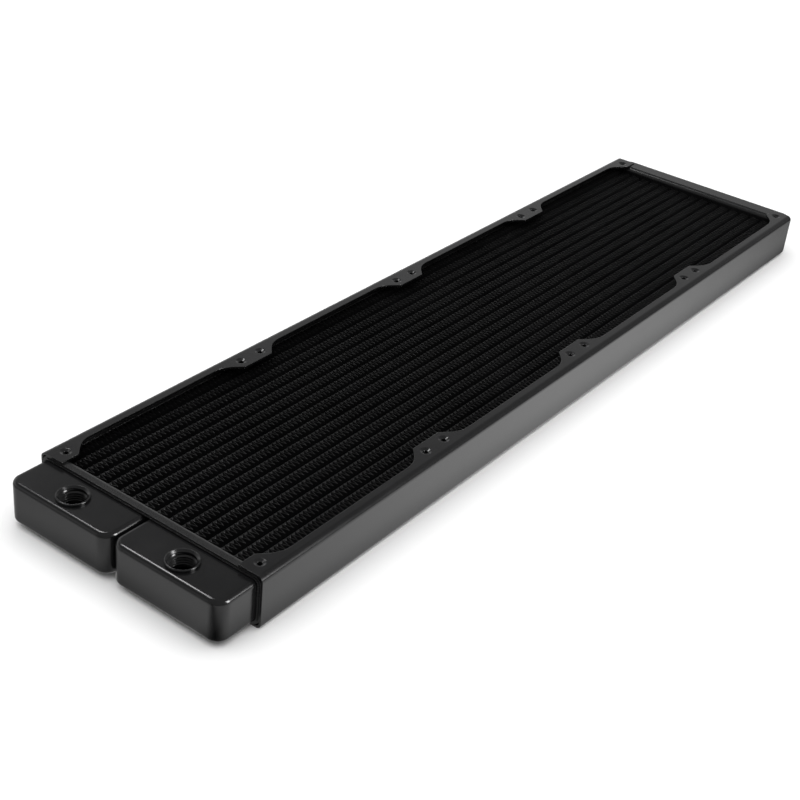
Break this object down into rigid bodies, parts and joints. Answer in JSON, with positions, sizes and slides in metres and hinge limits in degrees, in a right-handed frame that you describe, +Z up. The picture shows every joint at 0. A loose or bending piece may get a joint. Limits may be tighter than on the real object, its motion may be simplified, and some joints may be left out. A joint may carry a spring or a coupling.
{
  "type": "liquid cooling radiator",
  "caption": "Long black liquid cooling radiator for a row of fans, with zigzag fins between flat tubes, folded side channels and threaded ports on separate end tanks.",
  "frame": {"origin": "bottom centre of the whole object, on the surface that it lies on", "axes": "+X along the body from the ports to the return end, +Y to the left-hand side, +Z up, out of the port mouths"},
  "size_m": [0.5946, 0.142, 0.029],
  "materials": {
    "channel_paint": "satin",
    "header_paint": "satin",
    "tank_paint": "semi-gloss",
    "bush_paint": "semi-gloss",
    "side_plate_paint": "satin",
    "tube_paint": "satin",
    "fin_paint": "satin"
  },
  "bodies": {
    "root": {"left_side_channel": "channel_paint", "right_side_channel": "channel_paint", "port_header_plate": "header_paint", "return_header_plate": "header_paint", "tank_base": "header_paint", "header_divider": "header_paint", "inlet_tank": "tank_paint", "outlet_tank": "tank_paint", "return_tank": "tank_paint", "inlet_port_bush": "bush_paint", "outlet_port_bush": "bush_paint", "left_core_side_plate": "side_plate_paint", "right_core_side_plate": "side_plate_paint", "flat_tube_01": "tube_paint", "flat_tube_02": "tube_paint", "flat_tube_03": "tube_paint", "flat_tube_04": "tube_paint", "flat_tube_05": "tube_paint", "flat_tube_06": "tube_paint", "flat_tube_07": "tube_paint", "flat_tube_08": "tube_paint", "flat_tube_09": "tube_paint", "flat_tube_10": "tube_paint", "flat_tube_11": "tube_paint", "flat_tube_12": "tube_paint", "flat_tube_13": "tube_paint", "flat_tube_14": "tube_paint", "flat_tube_15": "tube_paint", "flat_tube_16": "tube_paint", "fin_strip_01": "fin_paint", "fin_strip_02": "fin_paint", "fin_strip_03": "fin_paint", "fin_strip_04": "fin_paint", "fin_strip_05": "fin_paint", "fin_strip_06": "fin_paint", "fin_strip_07": "fin_paint", "fin_strip_08": "fin_paint", "fin_strip_09": "fin_paint", "fin_strip_10": "fin_paint", "fin_strip_11": "fin_paint", "fin_strip_12": "fin_paint", "fin_strip_13": "fin_paint", "fin_strip_14": "fin_paint", "fin_strip_15": "fin_paint", "fin_strip_16": "fin_paint", "fin_strip_17": "fin_paint"}
  },
  "joints": []
}
